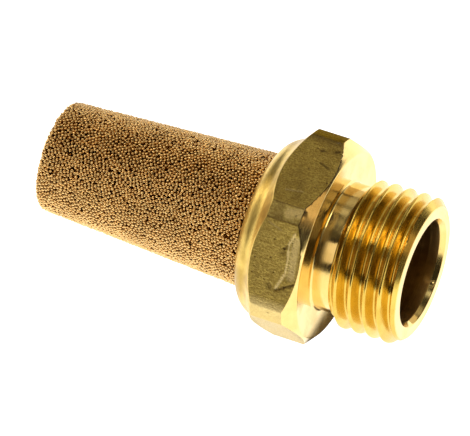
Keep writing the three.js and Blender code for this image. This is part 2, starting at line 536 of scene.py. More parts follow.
@dataclass(frozen=True)
class SinteredBalls(Finish):
    """Bronze balls, each a little different, darker and browner towards their roots as painted
    shade in the gaps between them.
    """

    bright: Colour = (0.96, 0.65, 0.26)
    warm: Colour = (0.86, 0.51, 0.17)
    cloud: Colour = (0.45, 0.27, 0.09)
    # root is the colour of the painted shade deep in the gaps between the balls
    root: Colour = (0.30, 0.12, 0.015)
    gap_shade_from: float = 0.20
    gap_shade_full: float = 0.70
    roughness: tuple[float, float] = (0.12, 0.24)
    grain_depth: float = 0.008

    def surface(self, nodes: Nodes, effects: Effects) -> dict[str, object]:
        """Colour by ball, with painted shade darkening the gaps."""
        tarnish = nodes.group(effects.tarnish, Cloud=0.3, Grain=14.0)
        colour = nodes.mix(nodes.attribute("ball_tint"), self.bright, self.warm)
        colour = nodes.over(colour, tarnish["Clouds"], 0.25, self.cloud)
        # painted shade: the deeper a point lies below the skin of balls, the nearer its colour goes
        # to root
        depth = nodes.ramp(nodes.attribute("ball_depth"), self.gap_shade_from, self.gap_shade_full)
        return {"Base Color": nodes.mix(depth, colour, self.root),
                "Roughness": nodes.ramp(tarnish["Grains"], 0.0, 1.0, *self.roughness),
                "Normal": self.bump(nodes, tarnish["Grains"], self.grain_depth)}


@dataclass(frozen=True)
class SinteredWall(Finish):
    """The deeper balls of the cup's wall, seen through the gaps and from inside, coloured dark as
    painted shade.
    """

    # both colours are far darker than the bronze itself: painted shade of the deep layer, nearly
    # black in the gaps
    ball: Colour = (0.30, 0.17, 0.065)
    gap: Colour = (0.035, 0.016, 0.005)
    ball_size: float = 0.30
    ball_depth: float = 0.15
    roughness: tuple[float, float] = (0.45, 0.65)

    def surface(self, nodes: Nodes, effects: Effects) -> dict[str, object]:
        """Closely packed round bumps, with painted shade in the gaps between them."""
        spot, _, _ = place_on_axis(nodes)
        cell = nodes.add("TexVoronoi", {"Vector": spot, "Scale": 1 / self.ball_size})
        distance = cell.outputs["Distance"]
        tarnish = nodes.group(effects.tarnish, Cloud=0.4, Grain=9.0)
        return {"Base Color": nodes.mix(nodes.ramp(distance, 0.25, 0.6), self.ball, self.gap),
                "Roughness": nodes.ramp(tarnish["Grains"], 0.0, 1.0, *self.roughness),
                "Normal": self.bump(nodes, nodes.math("SUBTRACT", 1.0, distance),
                                    self.ball_depth)}


# ---------- threaded body ----------

class Region(IntEnum):
    """Finishes on the body, in the order of its material slots."""

    TURNED = 0
    FLAT = 1
    SHOULDER = 2
    BORE = 3
    CORNER = 4
    THREAD = 5


@dataclass(frozen=True)
class Mark:
    """A scrape, a pit or a patch of colour in the hexagon: a band between two points of one side.

    The side is given by its angle in degrees from the top towards -Y, and a point by its place
    along the axis and across the side. A mark lightens the colour, darkens it, or neither: the
    lightening shows bare metal, and on the lower corner strip and the side below it is a painted
    sheen; the darkening shows stains, and in the gouge's tail and on the top corner strip is
    painted shade.
    """

    side: float
    start: tuple[float, float]
    end: tuple[float, float]
    width: float
    depth: float
    fresh_and_sheen: float = 0.0
    stain: float = 0.0

    reach_from = 8.2  # a spot at least this far out towards the side belongs to it
    steepness = 1.8  # how soon a groove reaches its full depth

    @property
    def outward(self) -> Vector:
        """The side's outward direction."""
        return away_from_axis(self.side)

    def share(self, spot: Vector) -> float:
        """How deep a spot lies in the mark.

        Args:
            spot: place in millimetres.

        Returns:
            From 0 outside the mark to 1 at its deepest.
        """
        turn = math.radians(self.side)
        if spot.dot(self.outward) < self.reach_from:
            return 0.0
        here = Vector((spot.x, spot.dot(Vector((0, -math.cos(turn), -math.sin(turn))))))
        start, along = Vector(self.start), Vector(self.end) - Vector(self.start)
        reach = along.length_squared
        part = min(max((here - start).dot(along) / reach, 0.0), 1.0) if reach else 0.0
        near = 1 - (here - start - along * part).length / (self.width / 2)
        return min(max(near * self.steepness, 0.0), 1.0)


@dataclass(frozen=True)
class Nick:
    """A knock on the bore's mouth.

    It is placed by its turn in degrees from the top towards -Y, and along the axis.
    """

    turn: float
    place: float
    size: float
    depth: float

    steepness = 2  # how soon the knock reaches its full depth

    def push(self, spot: Vector, radius: float) -> Vector:
        """How far a spot of the mouth is pushed outwards.

        Args:
            spot: place in millimetres.
            radius: the knock's middle, measured from the axis.

        Returns:
            The push in millimetres.
        """
        out = away_from_axis(self.turn)
        middle = out * radius + Vector((self.place, 0, 0))
        near = 1 - (spot - middle).length / self.size
        return out * self.depth * min(max(near, 0.0) * self.steepness, 1)


@dataclass
class ThreadedBody:
    """One turning from hexagonal bar: thread, relief, sealing face, hexagon, shoulder, socket."""

    major_diameter: float = 13.157
    pitch: float = 1.337
    depth_ratio: float = 0.640327
    flat_ratio: float = 1 / 6
    thread_end: float = 8.0
    end_chamfer: float = 0.7
    thread_blend: float = 0.16
    relief_diameter: float = 11.3
    relief_length: float = 1.75
    relief_runout: float = 0.6
    bore_diameter: float = 9.2
    mouth_width: float = 0.25
    mouth_depth: float = 0.5
    across_flats: float = 17.0
    corner_diameter: float = 18.8
    corner_length: float = 2.9
    seal_margin: float = 0.2
    front_chamfer: float = 0.95
    cone_length: float = 1.22
    cone_width: float = 1.45
    shoulder_length: float = 1.56
    shoulder_bulge: float = 0.3625
    lip_inner: float = 6.095
    lip_width: float = 0.2
    socket_radius: float = 6.4
    socket_shoulder: float = -2.6
    socket_back: float = -5.65
    socket_cone_end: float = -6.25
    socket_cone_step: float = 0.065
    segments: int = 192
    shoulder_steps: int = 28
    shoulder_spared: int = 5  # points left out, where the cone's edge is eased
    ease_steps: int = 4
    profile_merge: float = 0.002
    thread_merge: float = 0.001
    thread_rings: int = 170
    thread_lead: float = 0.03
    wall_under_thread: float = 0.5
    flat_snap: float = 0.004
    flat_merge: float = 0.05
    flat_ease: float = 0.045
    flat_grid: float = 0.12
    grid_snap: float = 0.002
    grid_past_corner: float = 0.8
    skin_room: float = 0.02  # what an eased edge or a chord may stray from its surface
    marks: tuple[Mark, ...] = (
        Mark(60.0, (-0.85, -2.6), (-0.78, 0.7), 0.95, 0.10, 0.55),
        Mark(60.0, (-1.05, -3.2), (-1.44, -2.1), 0.24, 0.05, 0.9),
        Mark(60.0, (-1.44, -2.1), (-1.28, -0.7), 0.22, 0.04, 1.0),
        Mark(60.0, (-1.28, -0.7), (-1.28, 0.5), 0.20, 0.04, 1.0),
        Mark(60.0, (-1.28, 0.5), (-1.89, 2.05), 0.26, 0.06, 1.0),
        # darkened as painted shade along the groove of the gouge's tail
        Mark(60.0, (-1.80, 2.15), (-0.40, 1.25), 0.30, 0.12, 0.0, 1.0),
        Mark(60.0, (-1.79, -1.65), (-1.55, -1.95), 0.34, 0.09, 0.0, 0.8),
        Mark(60.0, (-2.05, -1.15), (-1.7, -1.35), 0.28, 0.07, 0.0, 0.8),
        Mark(60.0, (-2.55, 1.8), (-2.42, 2.1), 0.50, 0.07, 0.0, 0.7),
        Mark(60.0, (-3.6, -3.6), (-2.4, -3.2), 0.18, 0.03, 0.3, 0.5),
        Mark(0.0, (-2.33, -2.6), (-2.2, -2.65), 0.46, 0.09, 0.0, 1.0),
        Mark(0.0, (-1.14, -2.86), (-0.9, -3.05), 0.44, 0.09, 0.0, 1.0),
        Mark(0.0, (-1.5, -4.0), (-1.3, -4.15), 0.48, 0.07, 0.0, 1.0),
        Mark(0.0, (-1.9, -1.3), (-0.9, -0.9), 0.30, 0.05, 0.0, 0.9),
        Mark(0.0, (-3.4, -3.9), (-2.5, -4.2), 0.36, 0.03, 0.0, 0.8),
        Mark(0.0, (-3.3, 2.6), (-1.9, 2.3), 0.22, 0.03, 0.5, 0.4),
        Mark(0.0, (-2.4, 1.4), (-2.1, 3.2), 0.9, 0.0, 0.0, 0.35),
        Mark(0.0, (-3.2, -0.4), (-3.0, 0.6), 0.7, 0.0, 0.0, 0.3),
        Mark(30.0, (-1.1, -0.3), (-2.1, 0.0), 1.1, 0.05, 0.5),
        Mark(30.0, (-2.5, 0.7), (-2.4, -0.7), 0.16, 0.03, 0.0, 0.9),
        Mark(30.0, (-2.9, 0.6), (-3.0, -0.6), 0.9, 0.02, 0.0, 0.45),
        Mark(30.0, (-3.9, 0.74), (-1.0, 0.74), 0.16, 0.02, 0.0, 0.8),
        Mark(30.0, (-3.9, -0.74), (-1.0, -0.74), 0.16, 0.02, 0.0, 0.8),
        # the whole top corner strip darkened: painted shade
        Mark(-30.0, (-3.6, 0.0), (-1.1, 0.0), 3.2, 0.0, 0.0, 1.0),
        # the whole lower corner strip lightened: painted sheen
        Mark(90.0, (-3.6, 0.0), (-1.1, 0.0), 3.2, 0.0, 0.9),
        # the lower side lightened all over: painted sheen
        Mark(120.0, (-2.4, -3.6), (-2.4, 3.6), 6.0, 0.0, 0.6),
        Mark(180.0, (-2.6, 1.4), (-1.9, 2.3), 0.5, 0.06, 0.6),
        Mark(240.0, (-3.0, -1.2), (-2.1, -0.6), 0.3, 0.05, 0.3),
        Mark(300.0, (-1.4, 2.0), (-1.3, 2.1), 0.4, 0.06, 0.0, 0.8),
        Mark(210.0, (-2.6, 0.0), (-1.4, 0.1), 0.9, 0.05, 0.6),
    )
    nicks: tuple[Nick, ...] = (Nick(-146.6, 7.5, 0.42, 0.10),)

    @property
    def thread_floor(self) -> float:
        """A radius between the bore and the thread, which tells them apart."""
        return self.bore_diameter / 2 + self.wall_under_thread

    @property
    def hex_front(self) -> float:
        """Where the corners' straight part starts."""
        return -self.front_chamfer

    @property
    def hex_back(self) -> float:
        """Where the corners' straight part ends."""
        return self.hex_front - self.corner_length

    @property
    def cone_end(self) -> float:
        """Where the rear cone meets the rounded shoulder."""
        return self.hex_back - self.cone_length

    @property
    def lip(self) -> float:
        """The rear end of the lip."""
        return self.cone_end - self.shoulder_length

    def build(self, materials: list[bpy.types.Material]) -> bpy.types.Object:
        """Builds the whole body.

        Args:
            materials: one material for each Region.

        Returns:
            The body's object.
        """
        bm = self.blank()
        self.cut_thread(bm)
        self.mill_flats(bm)
        self.mark_regions(bm)
        self.scar(bm)
        return finished_mesh(bm, "brass_body", materials)

    def blank(self) -> bmesh.types.BMesh:
        """The turned blank, as a closed ring with its edges eased.

        Returns:
            The mesh, spun from its profile.
        """
        crest = self.major_diameter / 2
        relief = self.relief_diameter / 2
        bore = self.bore_diameter / 2
        corner = self.corner_diameter / 2
        shoulder = arc(Vector((self.lip, self.lip_inner + self.lip_width)),
                       Vector((self.cone_end, corner - self.cone_width)),
                       self.shoulder_bulge, self.shoulder_steps)
        profile = [  # x, r, easing at the point, cuts on the way to the next point
            (self.thread_end, bore + self.mouth_width, 0.05, 3),
            (self.thread_end - self.mouth_depth, bore, 0.05, 24),
            (self.socket_shoulder, bore, 0.0, 2),
            (self.socket_shoulder, self.socket_radius, 0.0, 4),
            (self.socket_back, self.socket_radius, 0.0, 1),
            (self.socket_cone_end, self.lip_inner + self.socket_cone_step, 0.0, 2),
            (self.lip, self.lip_inner, 0.05, 0),
            (shoulder[0].x, shoulder[0].y, 0.07, 0),
            *[(p.x, p.y, 0.0, 0) for p in shoulder[1:-self.shoulder_spared]],
            (self.cone_end, corner - self.cone_width, 0.42, 3),
            (self.hex_back, corner, 0.08, 10),
            (self.hex_front, corner, 0.08, 6),
            (0.0, self.across_flats / 2 - self.seal_margin, 0.08, 9),
            (0.0, relief, 0.22, 5),
            (self.relief_length, relief, 0.05, 0),
            (self.relief_length + self.relief_runout, crest, 0.0, 0),
            (self.thread_end - self.end_chamfer, crest, 0.0, 0),
            (self.thread_end, crest - self.end_chamfer, 0.06, 6),
        ]
        bm = bmesh.new()
        points = [bm.verts.new((x * MM, 0.0, r * MM)) for x, r, _, _ in profile]
        lines = [bm.edges.new(ends) for ends in zip(points, points[1:] + points[:1])]
        for line, (_, _, _, cuts) in zip(lines, profile):
            if cuts:
                bmesh.ops.subdivide_edges(bm, edges=[line], cuts=cuts)
        for x, r, easing, _ in profile:
            if easing:
                spot = Vector((x, 0.0, r)) * MM
                point = min(bm.verts, key=lambda vertex: (vertex.co - spot).length)
                bmesh.ops.bevel(bm, geom=[point], offset=easing * MM, offset_type="OFFSET",
                                segments=self.ease_steps, profile=0.5, affect="VERTICES",
                                material=-1, clamp_overlap=True)
        bmesh.ops.remove_doubles(bm, verts=bm.verts[:], dist=self.profile_merge * MM)
        self.divide_thread(bm)
        spin_round(bm, self.segments)
        return bm

    def divide_thread(self, bm: bmesh.types.BMesh) -> None:
        """Divides the profile's threaded part evenly along the axis."""
        start = self.relief_length - self.thread_lead
        outer = [e for e in bm.edges if min(v.co.x for v in e.verts) >= start * MM
                 and min(v.co.z for v in e.verts) > self.thread_floor * MM]
        step = (self.thread_end - start) / self.thread_rings * MM
        for edge in outer:
            cuts = round(abs(edge.verts[0].co.x - edge.verts[1].co.x) / step) - 1
            if cuts > 0:
                bmesh.ops.subdivide_edges(bm, edges=[edge], cuts=cuts)

    def thread_radius(self, x: float, angle: float) -> float:
        """Radius of the thread's form.

        Args:
            x: place along the axis.
            angle: angle from +Y towards +Z.

        Returns:
            The radius in millimetres, before the end chamfer and the relief limit it.
        """
        depth = self.depth_ratio * self.pitch
        turn = x / self.pitch - angle / (2 * math.pi)
        from_groove = abs((turn + 0.5) % 1.0 - 0.5)
        flank = (from_groove - self.flat_ratio / 2) / (0.5 - self.flat_ratio)
        raised = -soft_min(-flank, 0.0, self.thread_blend)
        raised = soft_min(raised, 1.0, self.thread_blend)
        return self.major_diameter / 2 - depth * (1 - raised)

    def cut_thread(self, bm: bmesh.types.BMesh) -> None:
        """Moves the threaded part's vertices in to the thread's form."""
        for vertex in bm.verts:
            x, y, z = vertex.co / MM
            radius = math.hypot(y, z)
            if x > self.relief_length - 0.01 and radius > self.thread_floor:
                form = self.thread_radius(x, math.atan2(z, y))
                if form < radius:
                    vertex.co.yz *= form / radius
        bmesh.ops.remove_doubles(bm, verts=bm.verts[:], dist=self.thread_merge * MM)

    def mill_flats(self, bm: bmesh.types.BMesh) -> None:
        """Cuts the six flats, eases their edges and divides them finely."""
        apothem = self.across_flats / 2
        for i in range(6):
            normal = Vector((0, math.sin(math.pi / 3 * i), math.cos(math.pi / 3 * i)))
            cut = bmesh.ops.bisect_plane(bm, geom=bm.verts[:] + bm.edges[:] + bm.faces[:],
                                         dist=self.flat_snap * MM, clear_outer=True,
                                         plane_co=normal * apothem * MM, plane_no=normal)
            for vertex in bm.verts:
                beyond = vertex.co.dot(normal) - apothem * MM
                if beyond > 0:
                    vertex.co -= normal * beyond
            rim = [e for e in cut["geom_cut"] if isinstance(e, bmesh.types.BMEdge)]
            corners = list(dict.fromkeys(v for e in rim for v in e.verts))
            bmesh.ops.remove_doubles(bm, verts=corners, dist=self.flat_merge * MM)
            rim = [e for e in bm.edges if e.is_boundary]
            filled = bmesh.ops.edgeloop_fill(bm, edges=rim)["faces"]
            for face in filled:
                face.material_index = Region.FLAT
                if face.normal.dot(normal) < 0:
                    face.normal_flip()
            bmesh.ops.bevel(bm, geom=[e for f in filled for e in f.edges],
                            offset=self.flat_ease * MM, offset_type="OFFSET", segments=2,
                            profile=0.5, affect="EDGES", material=-1, clamp_overlap=False)
            self.divide_flat(bm, normal)

    def divide_flat(self, bm: bmesh.types.BMesh, normal: Vector) -> None:
        """Divides one flat into small squares, so that marks can be pressed into it.

        Args:
            bm: the body's mesh.
            normal: the flat's outward direction.
        """
        flat = [f for f in bm.faces
                if f.material_index == Region.FLAT and f.normal.dot(normal) > 0.9999]
        parts = [*flat, *dict.fromkeys(e for f in flat for e in f.edges),
                 *dict.fromkeys(v for f in flat for v in f.verts)]
        along, half = Vector((1, 0, 0)), self.across_flats / 3
        for direction, low, high in ((along, self.hex_back - self.grid_past_corner, 0.0),
                                     (normal.cross(along), -half, half)):
            for place in np.arange(low, high, self.flat_grid):
                parts = bmesh.ops.bisect_plane(bm, geom=parts, dist=self.grid_snap * MM,
                                               plane_co=direction * float(place) * MM,
                                               plane_no=direction)["geom"]

    def scar(self, bm: bmesh.types.BMesh) -> None:
        """Presses in the marks and nicks, and stores where the colour is lightened or darkened, for
        wear, stains, painted sheen and painted shade.
        """
        fresh_and_sheen = bm.verts.layers.float.new("fresh_and_sheen")
        stain = bm.verts.layers.float.new("stain")
        hexagon = [v for v in bm.verts if self.hex_back - 1 < v.co.x / MM < 0]
        for mark in self.marks:
            for vertex in hexagon:
                share = mark.share(vertex.co / MM)
                if share:
                    vertex.co -= mark.outward * mark.depth * share * MM
                    vertex[fresh_and_sheen] = max(vertex[fresh_and_sheen], mark.fresh_and_sheen * share)
                    vertex[stain] = max(vertex[stain], mark.stain * share)
        mouth = [v for v in bm.verts if v.co.x / MM > self.thread_end - 1]
        for nick in self.nicks:
            for vertex in mouth:
                push = nick.push(vertex.co / MM, (self.bore_diameter + self.mouth_width) / 2)
                vertex.co += push * MM

    def mark_regions(self, bm: bmesh.types.BMesh) -> None:
        """Gives each face that isn't on a flat the slot of its finish."""
        for face in bm.faces:
            if face.material_index != Region.FLAT:
                x, y, z = face.calc_center_median() / MM
                face.material_index = self.region_at(x, math.hypot(y, z))

    def region_at(self, x: float, radius: float) -> Region:
        """The finish at a place off the flats.

        Args:
            x: place along the axis.
            radius: distance from the axis.

        Returns:
            The region, with a little room for the eased edges and the chords of the turning.
        """
        room = self.skin_room
        if (radius < self.bore_diameter / 2 + room
                and x < self.thread_end - self.mouth_depth + 0.1):
            return Region.BORE
        if (self.lip + room < x < self.socket_shoulder + 0.01
                and radius < self.socket_radius + 0.01):
            return Region.BORE
        if x < self.hex_back:
            return Region.SHOULDER
        if radius > self.corner_diameter / 2 - 0.12 and x <= self.hex_front:
            return Region.CORNER
        if self.relief_length < x < self.thread_end - 0.05 and radius > self.thread_floor:
            return Region.THREAD
        return Region.TURNED


# ---------- porous cup ----------

@dataclass(frozen=True)
class SkinLine:
    """The line of one layer's centres, from the middle of the cup's end to the lip."""

    path: np.ndarray  # rows of x and r, in millimetres
    along: np.ndarray  # length along the line at each row

    def at(self, place: np.ndarray) -> list[np.ndarray]:
        """The x and the r at lengths along the line."""
        return [np.interp(place, self.along, part) for part in self.path.T]

    def heading(self, place: np.ndarray) -> list[np.ndarray]:
        """How x and r grow for each millimetre along the line."""
        return [np.interp(place, self.along, np.gradient(part, self.along))
                for part in self.path.T]


def around_axis(x: np.ndarray, r: np.ndarray, angle: np.ndarray) -> np.ndarray:
    """Points or directions of the profile, turned to their own angles round the axis."""
    return np.c_[x, r * np.cos(angle), r * np.sin(angle)]


@dataclass
class PorousCup:
    """Tapered cup of sintered balls: a solid wall with a skin of separate balls."""

    standout_end: float = -26.4
    lip: float = -6.63
    lip_radius: float = 6.045
    end_radius: float = 4.925
    end_round: float = 0.6
    wall: float = 1.7
    floor: float = 2.0
    inner_round: float = 0.6
    foot_radius: float = 6.35
    foot_x: float = -2.65
    foot_back: float = -5.65
    foot_cone_end: float = -6.25
    foot_wall: float = 2.3
    ball_diameter: float = 0.335
    ball_spacing: float = 0.325
    size_spread: tuple[float, float] = (-0.10, 0.06)
    sinking: float = 0.035
    skin_inset: float = 0.42
    under_depth: float = 0.17
    settling: int = 8
    unrest: float = 0.05
    easing: float = 0.35
    neighbours: int = 7
    pole_radius: float = 0.2
    missing: float = 0.003
    bands: int = 6
    segments: int = 96
    round_steps: int = 6
    seed: int = 11

    @property
    def taper(self) -> float:
        """Growth of the radius for each millimetre along the axis."""
        return (self.lip_radius - self.end_radius) / (self.lip - self.standout_end)

    def radius(self, x: float) -> float:
        """Outer radius of the tapered wall."""
        return self.end_radius + self.taper * (x - self.standout_end)

    def core(self, material: bpy.types.Material) -> bpy.types.Object:
        """The wall itself, a little inside the skin of balls.

        Args:
            material: finish of the wall.

        Returns:
            The wall's object.
        """
        inset = self.skin_inset
        end = self.standout_end + inset
        corner_x = end + self.end_round
        floor_x = self.standout_end + self.floor
        inner_x = floor_x + self.inner_round
        inner = self.radius(inner_x) - self.wall
        outer = self.radius(corner_x) - inset
        quarter = [math.pi / 2 * i / self.round_steps for i in range(self.round_steps + 1)]
        profile = [
            (end, 0.0),
            *[(corner_x - self.end_round * math.cos(turn),
               outer - self.end_round + self.end_round * math.sin(turn)) for turn in quarter],
            (self.lip - 0.2, self.radius(self.lip) - inset),
            (self.foot_cone_end, self.radius(self.foot_cone_end)),
            (self.foot_back, self.foot_radius),
            (self.foot_x, self.foot_radius),
            (self.foot_x, self.foot_radius - self.foot_wall),
            *[(inner_x - self.inner_round * math.sin(turn),
               inner - self.inner_round + self.inner_round * math.cos(turn)) for turn in quarter],
            (floor_x, 0.0),
        ]
        bm = bmesh.new()
        points = [bm.verts.new((x * MM, 0.0, r * MM)) for x, r in profile]
        lines = [bm.edges.new(ends) for ends in zip(points, points[1:])]
        for line in [line for line in lines if line.calc_length() > 3 * MM]:
            cuts = int(line.calc_length() / MM * 3)
            bmesh.ops.subdivide_edges(bm, edges=[line], cuts=cuts)
        spin_round(bm, self.segments, pole_merge=1e-7)
        return finished_mesh(bm, "sinter_wall", [material])

    def skin_line(self, under: float) -> SkinLine:
        """The line of one layer's centres.

        Args:
            under: depth of the layer below the outermost one.

        Returns:
            The line.
        """
        inset = self.ball_diameter / 2 + under
        end = self.standout_end + inset
        corner_x = self.standout_end + self.end_round
        corner_r = self.radius(corner_x) - self.end_round
        reach = self.end_round - inset
        rows = [(end, r) for r in np.linspace(0.0, corner_r, 60)]
        rows += [(corner_x - reach * math.cos(t), corner_r + reach * math.sin(t))
                 for t in np.linspace(0.0, math.pi / 2, 12)[1:]]
        rows += [(x, self.radius(x) - inset)
                 for x in np.linspace(corner_x, self.lip + 0.12, 300)[1:]]
        path = np.array(rows)
        step = np.diff(path, axis=0)
        return SkinLine(path, np.concatenate([[0.0], np.cumsum(np.hypot(step[:, 0], step[:, 1]))]))

    def ball_centres(self, under: float,
                     rng: np.random.Generator) -> tuple[np.ndarray, np.ndarray]:
        """Spreads one layer's balls evenly but without rows.

        Args:
            under: depth of the layer below the outermost one.
            rng: source of the unevenness.

        Returns:
            The centres in millimetres, and the outward direction at each.
        """
        line = self.skin_line(under)
        radii, along = line.path[:, 1], line.along
        step = np.diff(line.path, axis=0)
        ring = np.pi * (radii[1:] + radii[:-1]) * np.hypot(step[:, 0], step[:, 1])
        area = np.concatenate([[0.0], np.cumsum(ring)])
        count = int(area[-1] / (self.ball_spacing ** 2 * math.sqrt(3) / 2))
        share = (np.arange(count) + rng.uniform(0.05, 0.95, count)) / count * area[-1]
        place = np.interp(np.clip(share, 0.0, area[-1]), area, along)
        golden = math.pi * (3 - math.sqrt(5))
        angle = np.arange(count) * golden
        for turn in range(self.settling):
            x, r = line.at(place)
            ahead = around_axis(*line.heading(place), angle)
            sideways = np.c_[np.zeros(count), -np.sin(angle), np.cos(angle)]
            push = self.crowding(around_axis(x, r, angle))
            round_pole = np.maximum(r, self.pole_radius)
            place = np.clip(place + (push * ahead).sum(axis=1), 0.0, along[-1])
            angle = angle + (push * sideways).sum(axis=1) / round_pole
            if turn < self.settling // 2:
                place = np.clip(place + rng.normal(0, self.unrest, count), 0.0, along[-1])
                angle = angle + rng.normal(0, self.unrest, count) / round_pole
        ahead_x, ahead_r = line.heading(place)
        size = np.hypot(ahead_x, ahead_r)
        return (around_axis(*line.at(place), angle),
                around_axis(-ahead_r / size, ahead_x / size, angle))

    def crowding(self, spots: np.ndarray) -> np.ndarray:
        """How far each ball is pushed by the balls that stand too close.

        Args:
            spots: the balls' centres.

        Returns:
            The push on each, in millimetres.
        """
        tree = kdtree.KDTree(len(spots))
        for i, spot in enumerate(spots):
            tree.insert(spot, i)
        tree.balance()
        push = np.zeros_like(spots)
        for i, spot in enumerate(spots):
            for other, j, gap in tree.find_n(spot, self.neighbours):
                if j != i and gap < self.ball_spacing:
                    away = spot - np.array(other)
                    push[i] += away / max(gap, 1e-3) * (self.ball_spacing - gap) * self.easing
        return push

    def balls(self, material: bpy.types.Material) -> list[bpy.types.Object]:
        """The skin of balls, in bands along the axis.

        Args:
            material: finish of the balls.

        Returns:
            One object for each band.
        """
        rng = np.random.default_rng(self.seed)
        pieces = []
        for layer, under, cuts, bands in (("outer", 0.0, 2, self.bands),
                                          ("under", self.under_depth, 1, self.bands // 2)):
            spots, outward = self.ball_centres(under, rng)
            order = np.argsort(spots[:, 0])
            if layer == "outer":
                order = order[rng.uniform(0, 1, len(order)) > self.missing]
            for number, chosen in enumerate(np.array_split(order, bands)):
                pieces.append(self.band(f"sinter_{layer}_{number + 1}", spots[chosen],
                                        outward[chosen], under, cuts, rng, material))
            LOG.info("%s layer: %d balls", layer, len(order))
        return pieces

    def band(self, name: str, spots: np.ndarray, outward: np.ndarray, under: float, cuts: int,
             rng: np.random.Generator, material: bpy.types.Material) -> bpy.types.Object:
        """One band of balls, made from one ball that is doubled until there are enough.

        Args:
            name: name of the object.
            spots: centres in millimetres.
            outward: outward direction at each.
            under: depth of the layer below the outermost one.
            cuts: how finely each ball is divided.
            rng: source of each ball's size, turn and tint.
            material: finish of the balls.

        Returns:
            The band's object.
        """
        count = len(spots)
        bm = bmesh.new()
        bmesh.ops.create_cube(bm, size=2.0)
        bmesh.ops.subdivide_edges(bm, edges=bm.edges[:], cuts=cuts, use_grid_fill=True)
        for vertex in bm.verts:
            vertex.co.normalize()
        corners, faces = len(bm.verts), len(bm.faces)
        made = 1
        while made < count:
            extra = min(made, count - made)
            bm.faces.ensure_lookup_table()
            bmesh.ops.duplicate(bm, geom=bm.faces[:extra * faces])
            made += extra
        piece = finished_mesh(bm, name, [material], math.pi)
        mesh = piece.data
        unit = np.empty(len(mesh.vertices) * 3)
        mesh.vertices.foreach_get("co", unit)
        unit = unit.reshape(count, corners, 3)
        turns = rng.normal(size=(count, 4))
        turned = np.einsum("nij,nkj->nki", self.rotations(turns), unit)
        size = self.ball_diameter / 2 * (1 + rng.uniform(*self.size_spread, count))
        size = np.minimum(size, self.ball_diameter / 2)
        sunk = np.abs(rng.normal(0, self.sinking, count))
        centre = spots - outward * sunk[:, None]
        where = centre[:, None, :] + turned * size[:, None, None]
        mesh.vertices.foreach_set("co", (where * MM).ravel())
        # depth below the skin of balls, over each ball's inner side and the whole under layer,
        # which the ball finish turns into painted shade
        height = np.einsum("nkj,nj->nk", turned, outward)
        depth = (1 - height) / 2 + ((sunk + under) / self.ball_diameter)[:, None]
        self.attribute(mesh, "ball_depth", depth.ravel())
        self.attribute(mesh, "ball_tint", np.repeat(rng.uniform(0, 1, count), corners))
        mesh.update()
        return piece

    @staticmethod
    def attribute(mesh: bpy.types.Mesh, name: str, values: np.ndarray) -> None:
        """Stores one number for each vertex."""
        layer = mesh.attributes.new(name, "FLOAT", "POINT")
        layer.data.foreach_set("value", values.astype(np.float32))

    @staticmethod
    def rotations(quaternions: np.ndarray) -> np.ndarray:
        """Rotation matrices.

        Args:
            quaternions: rows of four numbers, of any length.

        Returns:
            One matrix for each row.
        """
        w, x, y, z = (quaternions / np.linalg.norm(quaternions, axis=1, keepdims=True)).T
        return np.stack([
            np.stack([1 - 2 * (y * y + z * z), 2 * (x * y - z * w), 2 * (x * z + y * w)], axis=-1),
            np.stack([2 * (x * y + z * w), 1 - 2 * (x * x + z * z), 2 * (y * z - x * w)], axis=-1),
            np.stack([2 * (x * z - y * w), 2 * (y * z + x * w), 1 - 2 * (x * x + y * y)], axis=-1),
        ], axis=1)


# ---------- studio ----------

@dataclass
class Viewpoint:
    """Camera above and in front of the object, on the side of the thread."""

    aim: tuple[float, float, float] = (-9.0, 0.0, 0.0)
    distance: float = 600.0
    azimuth: float = math.radians(-62.76)
    elevation: float = math.radians(48.81)
    roll: float = math.radians(3.23)
    side: float = 0.53
    drop: float = -0.317
    lens: float = 537.2
    sensor: float = 36.0

    def build(self) -> None:
        """Makes the camera and gives it to the scene."""
        back = toward(self.azimuth, self.elevation)
        level_right = (-back).cross(Vector((0, 0, 1))).normalized()
        level_down = (-back).cross(level_right)
        right = level_right * math.cos(self.roll) + level_down * math.sin(self.roll)
        down = level_down * math.cos(self.roll) - level_right * math.sin(self.roll)
        place = Vector(self.aim) - right * self.side - down * self.drop + back * self.distance
        data = bpy.data.cameras.new("camera")
        data.lens = self.lens
        data.sensor_width = self.sensor
        data.clip_start = 0.01
        data.clip_end = 10.0
        camera = bpy.data.objects.new("camera", data)
        turn = Matrix((right, -down, back)).transposed().to_4x4()
        camera.matrix_world = Matrix.Translation(place * MM) @ turn
        bpy.context.scene.collection.objects.link(camera)
        bpy.context.scene.camera = camera


@dataclass
class SoftLight:
    """One soft box: a glowing rectangle that faces the object."""

    name: str
    azimuth: float
    elevation: float
    width: float
    height: float
    radiance: float
    colour: Colour = WHITE
    distance: float = 0.5

    def build(self) -> None:
        """Hangs the light round the object."""
        out = toward(math.radians(self.azimuth), math.radians(self.elevation))
        data = bpy.data.lights.new(self.name, "AREA")
        data.shape = "RECTANGLE"
        data.size, data.size_y = self.width, self.height
        data.energy = self.radiance * math.pi * self.width * self.height
        data.color = self.colour
        light = bpy.data.objects.new(self.name, data)
        light.location = out * self.distance
        light.rotation_euler = out.to_track_quat("Z", "Y").to_euler()
        bpy.context.scene.collection.objects.link(light)


